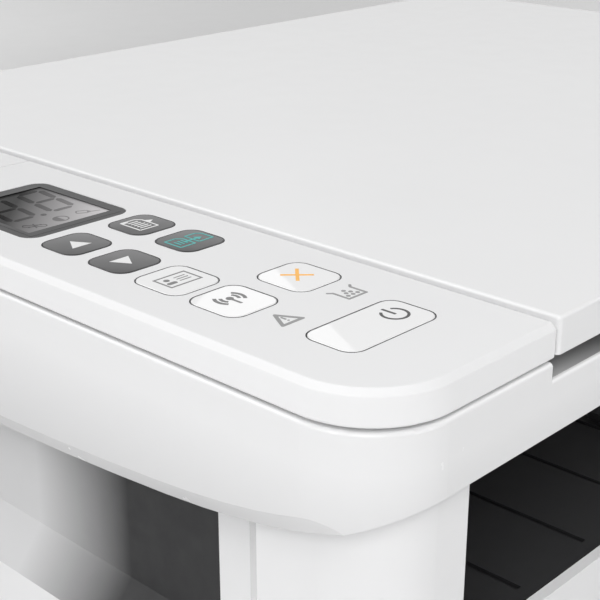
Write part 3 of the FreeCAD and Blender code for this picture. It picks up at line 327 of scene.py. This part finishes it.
def circuit_board():
    material, nodes, links, shader = new_material("circuit_board")
    where = nodes.new("ShaderNodeTexCoord")
    tracks = nodes.new("ShaderNodeTexBrick")
    tracks.inputs["Scale"].default_value = TRACKS
    tracks.inputs["Color1"].default_value = (0.02, 0.16, 0.07, 1.0)
    tracks.inputs["Color2"].default_value = (0.03, 0.2, 0.09, 1.0)
    tracks.inputs["Mortar"].default_value = (0.06, 0.3, 0.14, 1.0)
    links.new(where.outputs["Object"], tracks.inputs["Vector"])
    links.new(tracks.outputs["Color"], shader.inputs["Base Color"])
    gloss = spread(nodes, links, noise(nodes, links, BOARD_PATCH), 0.3, 0.42)
    links.new(gloss, shader.inputs["Roughness"])
    return material


def painted_light_gradient(name, first, last, dark, light, roughness, index=1.5):
    """A painted gradient of light and shade that runs from one point to another."""
    material, nodes, links, shader = new_material(name)
    shader.inputs["IOR"].default_value = index
    run = Vector(last) - Vector(first)
    where = nodes.new("ShaderNodeTexCoord")
    along = nodes.new("ShaderNodeVectorMath")
    along.operation = "DOT_PRODUCT"
    along.inputs[1].default_value = run
    links.new(where.outputs["Object"], along.inputs[0])
    ranged = nodes.new("ShaderNodeMapRange")
    ranged.inputs["From Min"].default_value = run.dot(Vector(first))
    ranged.inputs["From Max"].default_value = run.dot(Vector(last))
    links.new(along.outputs["Value"], ranged.inputs["Value"])
    links.new(two_tone(nodes, links, ranged.outputs["Result"], dark, light), shader.inputs["Base Color"])
    gloss = spread(nodes, links, noise(nodes, links, RUN_PATCH),
                   roughness * (1 - RUN_SWING), roughness * (1 + RUN_SWING))
    links.new(gloss, shader.inputs["Roughness"])
    return material


def slantwise(node, slope, share):
    """A point on the slanting line over a part, so far from its left corner to its right one."""
    low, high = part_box(node)
    reach = share * ((high[0] - low[0]) + (high[1] - low[1])) / 2
    return low[0] + reach, (low[1] if slope > 0 else high[1]) + slope * reach, 0.0


finish["steel"] = plated_steel()
finish["mirror"] = coated("mirror", (0.9, 0.9, 0.92), 0.05, 1.0)
finish["drum_coating"] = coated("drum_coating", (0.05, 0.3, 0.4), 0.12, 0.0)
finish["sleeve_film"] = coated("sleeve_film", (0.1, 0.07, 0.05), 0.3, 0.2)
finish["glass"] = clear_glass()
finish["circuit_board"] = circuit_board()
# Painted reflection: the display stays dark for about a third of a slanting line, then grows lighter to its
# far end.
finish["lcd"] = painted_light_gradient("lcd", slantwise("lcd_panel", -1, LCD_REFLECTION_FROM), slantwise("lcd_panel", -1, 1.0),
                       (0.05, 0.05, 0.05), (0.76, 0.74, 0.75), 0.2, 1.06)
print(len(finish), "finishes in all")

# %% [markdown]
# ## Dress the solid parts
# The record names a finish for every part, so one loop hands them out. A few parts have a finish of their
# own: the scanner's base has painted shade that darkens it towards its lower edge, the panel is duller than
# the covers, and each dark key has a painted highlight that makes it lighter to one side.

# %% Hand out the finishes
SHADE_DARK_BELOW_TOP = 40 * MM
SHADE_LIGHT_BELOW_TOP = 16 * MM
KEY_HIGHLIGHT_FROM = 0.15
# Painted shade: the scanner base's white darkens from 16 mm below the panel top down to 40 mm below it.
finish["scanner_base"] = painted_light_gradient("scanner_base", (0, 0, panel_top - SHADE_DARK_BELOW_TOP), (0, 0, panel_top - SHADE_LIGHT_BELOW_TOP),
                                (0.64, 0.64, 0.645), (0.82, 0.82, 0.825), 0.25)
finish["control_panel"] = moulded("control_panel", (0.845, 0.845, 0.85), 0.5,
                                  strength=0, drift=0.006, shine=0.12)
finish["panel_strip"] = finish["control_panel"]
finish["display_bezel"] = finish["bezel"]
for entry in frame["record"]["subparts"]:
    node = entry["node"]
    solid = frame["nodes"][node]
    # Painted highlight: each dark key's colour runs from near black to a lighter grey towards one side.
    if entry["material_slot"] == "dark_key":
        finish[node] = painted_light_gradient(node, slantwise(node, 1, KEY_HIGHLIGHT_FROM), slantwise(node, 1, 1.0),
                              (0.003, 0.003, 0.004), (0.17, 0.17, 0.173), 0.36)
    own = finish.get(node)
    if not solid.material_slots:
        solid.data.materials.append(None)
    for slot in solid.material_slots:
        slot.material = own or finish[entry["material_slot"]]

# %% [markdown]
# ## Floor paint
# The floor gets the same recipe, in a pale and matt tone with no grain.

# %% Paint the floor
floor.data.materials.append(moulded("studio_floor", (0.84, 0.84, 0.84), 0.6, strength=0, drift=0.01))
print("floor painted")

# %% [markdown]
# ## Printed strokes
# The symbols are ink on the keys, so each one is a set of very thin tiles that stand a few hundredths of
# a millimetre proud. Flat tiles shaped in edit mode keep sharp corners and stay light. Tiles that cross are
# stepped by a hair, so their tops never lie in one plane. Three strokes are enough: a bar, an arc, and a
# patch that may be left hollow.

# %% Bars, arcs and patches
INK = 0.05 * MM
INK_SUNK = 0.02 * MM
INK_STEP = 0.002 * MM
POINTED = 0.49
ARC_STEPS = 24
CORNER_STEPS = 6


def spot(x, y):
    """A place on the panel, from millimetres right of the groove and behind the front edge."""
    return Vector((groove_x + x * MM, front_y + y * MM, 0.0))


def thicken():
    bpy.ops.mesh.select_all(action="SELECT")
    bpy.ops.mesh.extrude_region_move(TRANSFORM_OT_translate={"value": (0, 0, INK)})
    bpy.ops.mesh.select_all(action="SELECT")
    bpy.ops.mesh.normals_make_consistent(inside=False)
    bpy.ops.object.mode_set(mode="OBJECT")


def put(place, turn):
    """Turn the stroke, move it to its place and bake both into its mesh."""
    stroke = bpy.context.object
    stroke.rotation_euler = (0, 0, turn)
    stroke.location = place
    bpy.ops.object.transform_apply(location=True, rotation=True, scale=True)
    return stroke


def bar(start, end, width, pointed=False):
    """A straight stroke between two places, with square ends or pointed ones."""
    first = spot(*start)
    last = spot(*end)
    run = last - first
    deselect_all()
    bpy.ops.mesh.primitive_plane_add(size=1.0, location=(0, 0, 0))
    bpy.ops.object.mode_set(mode="EDIT")
    bpy.ops.transform.resize(value=(run.length, width * MM, 1.0))
    if pointed:
        bpy.ops.mesh.bevel(offset=width * MM * POINTED, segments=1, affect="VERTICES")
    thicken()
    return put((first + last) / 2, math.atan2(run.y, run.x))


def arc(centre, radius, width, first, last):
    """A round stroke between two angles, counted in degrees from the right."""
    deselect_all()
    bpy.ops.mesh.primitive_plane_add(size=1.0, location=(0, 0, 0), rotation=(math.pi / 2, 0, 0))
    bpy.ops.object.transform_apply(location=False, rotation=True, scale=False)
    bpy.ops.object.mode_set(mode="EDIT")
    bpy.ops.transform.resize(value=(width * MM, 1.0, INK))
    bpy.ops.transform.translate(value=(radius * MM, 0, INK / 2))
    bpy.ops.mesh.spin(steps=ARC_STEPS, angle=math.radians(first - last), center=(0, 0, 0), axis=(0, 0, 1))
    bpy.ops.mesh.select_all(action="SELECT")
    bpy.ops.mesh.normals_make_consistent(inside=False)
    bpy.ops.object.mode_set(mode="OBJECT")
    return put(spot(*centre), math.radians(first))


def patch(centre, corners, size, rounding=0.0, line=0.0, turn=0.0):
    """A polygon inside a box of the given size, filled or, with a line width, left hollow."""
    deselect_all()
    if corners == 4:
        bpy.ops.mesh.primitive_plane_add(size=1.0, location=(0, 0, 0))
    else:
        bpy.ops.mesh.primitive_circle_add(vertices=corners, radius=0.5, fill_type="NGON", location=(0, 0, 0))
    stroke = bpy.context.object
    spread_x = stroke.dimensions.x
    spread_y = stroke.dimensions.y
    middle = sum((Vector(corner) for corner in stroke.bound_box), Vector()) / len(stroke.bound_box)
    bpy.ops.object.mode_set(mode="EDIT")
    bpy.ops.transform.translate(value=-middle)
    bpy.ops.transform.resize(value=(size[0] * MM / spread_x, size[1] * MM / spread_y, 1.0),
                             center_override=(0, 0, 0))
    if rounding:
        bpy.ops.mesh.bevel(offset=rounding * MM, segments=CORNER_STEPS, affect="VERTICES")
    if line:
        bpy.ops.mesh.select_all(action="SELECT")
        bpy.ops.mesh.inset(thickness=line * MM)
        bpy.ops.mesh.delete(type="FACE")
    thicken()
    return put(spot(*centre), math.radians(turn))


def printed(name, strokes, body, level, ink):
    """Join strokes into one print, lift it to its surface and tie it to the body it is on."""
    deselect_all()
    for index, stroke in enumerate(strokes):
        stroke.location.z = index * INK_STEP
        stroke.select_set(True)
    bpy.context.view_layer.objects.active = strokes[0]
    bpy.ops.object.join()
    piece = bpy.context.object
    piece.name = name
    bpy.ops.object.mode_set(mode="EDIT")
    bpy.ops.mesh.select_all(action="SELECT")
    bpy.ops.transform.translate(value=(0, 0, level - INK_SUNK))
    bpy.ops.object.mode_set(mode="OBJECT")
    piece.data.materials.append(ink)
    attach(piece, body)
    print(name, "with", len(piece.data.polygons), "faces on", body)
    return piece


def key_top(key):
    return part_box(key)[1][2]


# %% [markdown]
# ## Inks
# Screen-printed ink is matt and slightly uneven, because the mesh of the screen leaves tiny dots. The
# same moulded recipe with a finer grain does that. Grey is for the white keys, white and blue-green for
# the dark ones, and orange for the cancel cross.

# %% Mix the inks
INK_GRAIN = 0.15
grey_ink = moulded("grey_ink", (0.2, 0.2, 0.2), 0.55, grain=INK_GRAIN, strength=0.1, drift=0.08)
pale_ink = moulded("pale_ink", (0.3, 0.3, 0.3), 0.55, grain=INK_GRAIN, strength=0.1, drift=0.08)
dark_ink = moulded("dark_ink", (0.065, 0.065, 0.065), 0.55, grain=INK_GRAIN, strength=0.1, drift=0.08)
white_ink = moulded("white_ink", (0.86, 0.86, 0.86), 0.5, grain=INK_GRAIN, strength=0.3, drift=0.02)
teal_ink = moulded("teal_ink", (0.08, 0.42, 0.4), 0.5, grain=INK_GRAIN, strength=0.1, drift=0.05)
orange_ink = moulded("orange_ink", (1.0, 0.5, 0.1), 0.5, grain=INK_GRAIN, strength=0.1, drift=0.05)
print("six inks mixed")

# %% [markdown]
# ## Key seals
# A rubber mat lies under the keys and its lips fill the gaps around them. From outside only a thin dark line
# shows, so each lip is a hollow rounded patch a little smaller than the key's hole.

# %% Eight lips in one mat
LIP = 0.18
LIP_PLAY = 0.04
HOLE_ROUND = 3.38
FLANGE = 0.7
lips = []
for key in (name for name in frame["nodes"] if name.startswith("key_")):
    low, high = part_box(key)
    centre = [((low[i] + high[i]) / 2 - (groove_x, front_y)[i]) / MM for i in range(2)]
    size = [(high[i] - low[i]) / MM - 2 * FLANGE - LIP_PLAY for i in range(2)]
    lips.append(patch(centre, 4, size, rounding=HOLE_ROUND, line=LIP))
printed("key_seals", lips, "scanner", panel_top, finish["rubber"])

# %% [markdown]
# ## Finger gap
# Under the lid's front edge is a gap for the fingers that lift it. Its ledge carries painted shade: a thin
# grey strip, darker along the gap and lighter at the end near the panel.

# %% A strip on the ledge
LEDGE_BELOW_PANEL = 11.5
STRIP_LEFT = 0.4
STRIP_FRONT = 0.9
STRIP_REAR = 7.9
STRIP_ROUND = 0.3
STRIP_SHADE_FROM = 26.0
CORNER = 32.0
strip_right = (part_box("scanner_base")[1][0] - groove_x) / MM - CORNER
strip_middle = ((STRIP_LEFT + strip_right) / 2, (STRIP_FRONT + STRIP_REAR) / 2)
strip_size = (strip_right - STRIP_LEFT, STRIP_REAR - STRIP_FRONT)
# Painted shade on the ledge: dark from 26 mm along the gap, lighter towards the panel end.
gap_painted_shade = painted_light_gradient("gap_painted_shade", spot(STRIP_SHADE_FROM, 0), spot(STRIP_LEFT, 0),
                    (0.16, 0.16, 0.162), (0.46, 0.46, 0.463), 0.6)
gap_shade_strip = patch(strip_middle, 4, strip_size, rounding=STRIP_ROUND)
ledge = panel_top - LEDGE_BELOW_PANEL * MM
printed("finger_gap_painted_shade", [gap_shade_strip], "scanner", ledge, gap_painted_shade)

# %% [markdown]
# ## Hand grips
# The recesses in the side covers are lined with thin plates of painted shade, one on the slope and one on the
# wall behind it. Each plate is a flat tile that is tilted about the depth axis, dark in front and lighter
# towards the rear.

# %% Four plates
GRIP_SLOPE = ((-174.5, 112.0), (-166.5, 122.0))
GRIP_WALL = ((-166.5, 122.0), (-166.5, 154.0))
GRIP_LONG = 168.0
GRIP_MIDDLE = 5.0
GRIP_ROUND = 2.0
GRIP_SHADE_DARK_TO = 82 * MM
GRIP_SHADE_LIGHT_FROM = 116 * MM


def plate(lower, upper, sign):
    """A thin tile between two places in the front view, for the left side or the right one."""
    run = Vector(upper) - Vector(lower)
    deselect_all()
    bpy.ops.mesh.primitive_plane_add(size=1.0, location=(0, 0, 0))
    bpy.ops.object.mode_set(mode="EDIT")
    bpy.ops.transform.resize(value=(run.length * MM, GRIP_LONG * MM, 1.0))
    bpy.ops.mesh.bevel(offset=GRIP_ROUND * MM, segments=CORNER_STEPS, affect="VERTICES")
    thicken()
    tile = bpy.context.object
    middle = (Vector(lower) + Vector(upper)) / 2
    tile.rotation_euler = (0, -math.atan2(run.y, run.x), 0 if sign < 0 else math.pi)
    tile.location = (-sign * middle.x * MM, GRIP_MIDDLE * MM, middle.y * MM)
    bpy.ops.object.transform_apply(location=True, rotation=True, scale=True)
    return tile


# Painted shade in the grips: near black in front, pale grey towards the rear.
grip_painted_shade = painted_light_gradient("grip_painted_shade", (0, front_y + GRIP_SHADE_DARK_TO, 0), (0, front_y + GRIP_SHADE_LIGHT_FROM, 0),
                   (0.012, 0.012, 0.013), (0.62, 0.62, 0.625), 0.6)
shade_plates = [plate(*reach, sign) for sign in (-1, 1) for reach in (GRIP_SLOPE, GRIP_WALL)]
printed("grip_shade_plates", shade_plates, "engine", INK_SUNK, grip_painted_shade)

# %% [markdown]
# ## Arrows on the two dark keys on the left
# A three-cornered patch is the whole symbol. The rear key's arrow points to the rear, the other to the front.

# %% Up and down arrows
UP_AT = (-33.4, 98.9)
DOWN_AT = (-33.3, 82.6)
ARROW = (5.0, 4.2)
HALF_TURN = 180.0
printed("arrow_up", [patch(UP_AT, 3, ARROW)], "key_up", key_top("key_up"), white_ink)
printed("arrow_down", [patch(DOWN_AT, 3, ARROW, turn=HALF_TURN)], "key_down", key_top("key_down"), white_ink)

# %% [markdown]
# ## Copy menu and start copy
# The menu key shows a page of text with an arrow that leaves it. The start key shows two pages and an arrow
# from one to the other. Each page is an outline of five bars with a cut corner.

# %% Pages, text lines and arrows
FINE = 0.42
TO_THE_RIGHT = -90.0


def page(left, right, front, rear, cut, width=FINE):
    """The outline of a page whose rear right corner is cut off."""
    corners = [(left, front), (left, rear), (right - cut, rear), (right, rear - cut), (right, front)]
    return [bar(corners[i - 1], corners[i], width) for i in range(len(corners))]


MENU_ROWS = 5
MENU_ROW_STEP = 1.05
MENU_LONG_ROWS_BELOW = 100.0
menu = page(-18.2, -13.1, 95.8, 102.6, 1.2)
for row in range(MENU_ROWS):
    y = 101.2 - MENU_ROW_STEP * row
    row_end = -14.4 if y > MENU_LONG_ROWS_BELOW else -14.05
    menu.append(bar((-17.2, y), (row_end, y), FINE))
menu.append(patch((-17.4, 102.3), 4, (1.6, 1.0)))
menu.append(patch((-12.2, 99.7), 3, (2.2, 1.8), turn=TO_THE_RIGHT))
printed("copy_menu_symbol", menu, "key_copy_menu", key_top("key_copy_menu"), white_ink)

TEXT_STEP = 0.95
COPY_ARROW_Y = 82.9
pages = page(-19.8, -15.7, 80.7, 85.9, 1.2) + page(-14.4, -10.4, 80.9, 85.6, 1.0)
for row in range(3):
    x = -18.6 + TEXT_STEP * row
    pages.append(bar((x, 82.0), (x, 84.2), FINE))
pages.append(bar((-16.6, COPY_ARROW_Y), (-13.3, COPY_ARROW_Y), 0.6))
pages.append(patch((-12.7, COPY_ARROW_Y), 3, (2.2, 1.6), turn=TO_THE_RIGHT))
printed("start_copy_symbol", pages, "key_start_copy", key_top("key_start_copy"), teal_ink)

# %% [markdown]
# ## Card copy and wireless
# The card has a head, shoulders and three lines of text. The wireless sign is a mast with a ball and two
# waves on either side, which are arcs about the ball.

# %% Card and waves
CARD = (-32.95, 66.9)
CARD_TEXT = 0.28
card = [patch(CARD, 4, (8.3, 5.8), line=FINE)]
card.append(patch((-35.1, 67.8), 16, (1.35, 1.35)))
card.append(patch((-35.15, 66.0), 4, (2.4, 1.1), rounding=0.45))
card += [bar((-33.1, y), (-30.2, y), CARD_TEXT) for y in (68.0, 67.0, 66.0)]
printed("card_symbol", card, "key_id_copy", key_top("key_id_copy"), grey_ink)

BALL = (-33.1, 51.9)
MAST_FOOT = (-33.1, 48.6)
NEAR_WAVE = 1.8
NEAR_REACH = 38
FAR_WAVE = 2.95
FAR_REACH = 42
waves = [bar(MAST_FOOT, BALL, 0.6), patch(BALL, 20, (1.6, 1.6))]
for middle in (0, 180):
    waves.append(arc(BALL, NEAR_WAVE, 0.7, middle - NEAR_REACH, middle + NEAR_REACH))
    waves.append(arc(BALL, FAR_WAVE, 0.75, middle - FAR_REACH, middle + FAR_REACH))
printed("wireless_symbol", waves, "key_wireless", key_top("key_wireless"), grey_ink)

# %% [markdown]
# ## Cancel and power
# The cancel cross is two thin orange bars. The power sign is a ring with a gap towards the rear and a bar
# standing in the gap.

# %% Cross and power sign
CROSS_WIDTH = 0.75
cross = [bar((-17.3, 53.9), (-12.6, 49.1), CROSS_WIDTH)]
cross.append(bar((-12.4, 54.0), (-17.3, 49.1), CROSS_WIDTH))
printed("cancel_symbol", cross, "key_cancel", key_top("key_cancel"), orange_ink)
POWER_AT = (-17.5, 24.2)
POWER_RING = 2.6
POWER_WIDTH = 0.6
RING_FROM = 122
RING_TO = 418
power = [arc(POWER_AT, POWER_RING, POWER_WIDTH, RING_FROM, RING_TO)]
power.append(bar((-17.5, 27.4), (-17.5, 24.0), POWER_WIDTH))
printed("power_symbol", power, "key_power", key_top("key_power"), dark_ink)

# %% [markdown]
# ## Warning and toner signs
# These two are printed on the panel itself. The warning sign is a hollow triangle with a stroke and a dot.
# The toner sign is an open hopper with its lips bent outwards and a heap of dots for the powder.

# %% Triangle and hopper
def line(points, width):
    """A line through the given places, with round joints."""
    strokes = [bar(start, end, width) for start, end in zip(points, points[1:])]
    return strokes + [patch(point, 16, (width, width)) for point in points]


TRIANGLE = [(-35.7, 35.3), (-30.5, 35.3), (-33.1, 39.9), (-35.7, 35.3)]
warning = line(TRIANGLE, 0.8)
warning.append(bar((-33.1, 38.4), (-33.1, 37.0), 0.45))
warning.append(patch((-33.1, 36.4), 12, (0.5, 0.5)))
printed("warning_symbol", warning, "scanner", panel_top, pale_ink)
HOPPER = [(-18.3, 40.3), (-17.5, 39.6), (-17.5, 35.4), (-12.5, 35.4), (-12.5, 39.6), (-11.8, 40.3)]
GRAINS = [(-16.4, 36.6), (-15.0, 36.6), (-13.7, 36.6), (-15.7, 37.8), (-14.4, 37.8), (-15.1, 39.0)]
GRAIN = (0.95, 0.95)
hopper = line(HOPPER, 0.6)
hopper += [patch(place, 12, GRAIN) for place in GRAINS]
printed("toner_symbol", hopper, "scanner", panel_top, pale_ink)

# %% [markdown]
# ## Display digits
# The display shows two digits of seven segments each, with a point between them. Each segment is a bar with
# pointed ends. Like the display, the segments carry a painted reflection: a slanting run from dark to light,
# only darker.

# %% Segments
SEGMENT_REFLECTION_FROM = 0.34
DIGIT_WIDE = 6.2
DIGIT_TALL = 16.0
SLANT = 1.7 / DIGIT_TALL
SEGMENT = 1.5
FLAT_SEGMENT = SEGMENT * 0.85
GAP = 0.45
DIGITS_FRONT = 122.4
DIGITS_LEFT = (-33.2, -22.3)
display_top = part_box("lcd_panel")[1][2]
reflection_dark_end = slantwise("lcd_panel", -1, SEGMENT_REFLECTION_FROM)
reflection_light_end = slantwise("lcd_panel", -1, 1.0)
# Painted reflection on the digits' ink: darker at one end of the display, lighter at the other.
segment_ink_and_reflection = painted_light_gradient("segment_ink_and_reflection", reflection_dark_end, reflection_light_end,
                     (0.006, 0.006, 0.006), (0.42, 0.41, 0.415), 0.2, 1.05)
segments = []
for left in DIGITS_LEFT:
    rows = [(left + SLANT * DIGIT_TALL * half / 2, DIGITS_FRONT + DIGIT_TALL * half / 2) for half in range(3)]
    for x, y in rows:
        segments.append(bar((x + GAP, y), (x + DIGIT_WIDE - GAP, y), FLAT_SEGMENT, True))
    for low_row, high_row in zip(rows, rows[1:]):
        for side in (0.0, DIGIT_WIDE):
            start = (low_row[0] + side + SLANT * GAP, low_row[1] + GAP)
            end = (high_row[0] + side - SLANT * GAP, high_row[1] - GAP)
            segments.append(bar(start, end, SEGMENT, True))
segments.append(patch((-25.1, 121.8), 12, (1.4, 1.4)))
printed("display_digits", segments, "scanner", display_top, segment_ink_and_reflection)

# %% [markdown]
# ## Display mask
# A printed frame of four bars covers the step between the bezel and the display.

# %% Four bars around the display
MASK_X = (-37.0, -12.0)
MASK_Y = (110.2, 141.4)
bezel_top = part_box("display_bezel")[1][2]
mask = []
for y, width in ((111.35, 2.3), (140.75, 1.5)):
    mask.append(bar((MASK_X[0], y), (MASK_X[1], y), width))
for x, width in ((-36.35, 1.1), (-12.5, 0.9)):
    mask.append(bar((x, MASK_Y[0]), (x, MASK_Y[1]), width))
printed("display_mask", mask, "scanner", bezel_top, finish["bezel"])

# %% [markdown]
# ## Small signs
# Below the digits is a row of three small signs: a half-filled disc for the tone, an oval that is crossed by
# two strokes, and a lens with a handle.

# %% Three signs
HAIR = 0.3
DISC = (-24.1, 116.6)
signs = [patch(DISC, 24, (3.9, 3.9), line=0.35), arc(DISC, 0.85, 1.7, 90, 270)]
signs.append(patch((-31.4, 116.5), 4, (5.6, 1.5), rounding=0.6, line=HAIR, turn=-38.0))
signs.append(bar((-33.2, 116.4), (-29.6, 116.4), HAIR))
signs.append(bar((-30.9, 117.9), (-31.9, 115.0), HAIR))
signs.append(patch((-17.7, 117.1), 4, (3.2, 2.0), rounding=0.7, line=HAIR, turn=-30.0))
signs.append(patch((-16.4, 116.3), 12, (1.0, 1.0), line=0.25))
signs.append(bar((-16.0, 116.0), (-14.0, 115.2), HAIR))
# The small signs use the same ink with its painted reflection.
printed("display_signs", signs, "scanner", display_top, segment_ink_and_reflection)
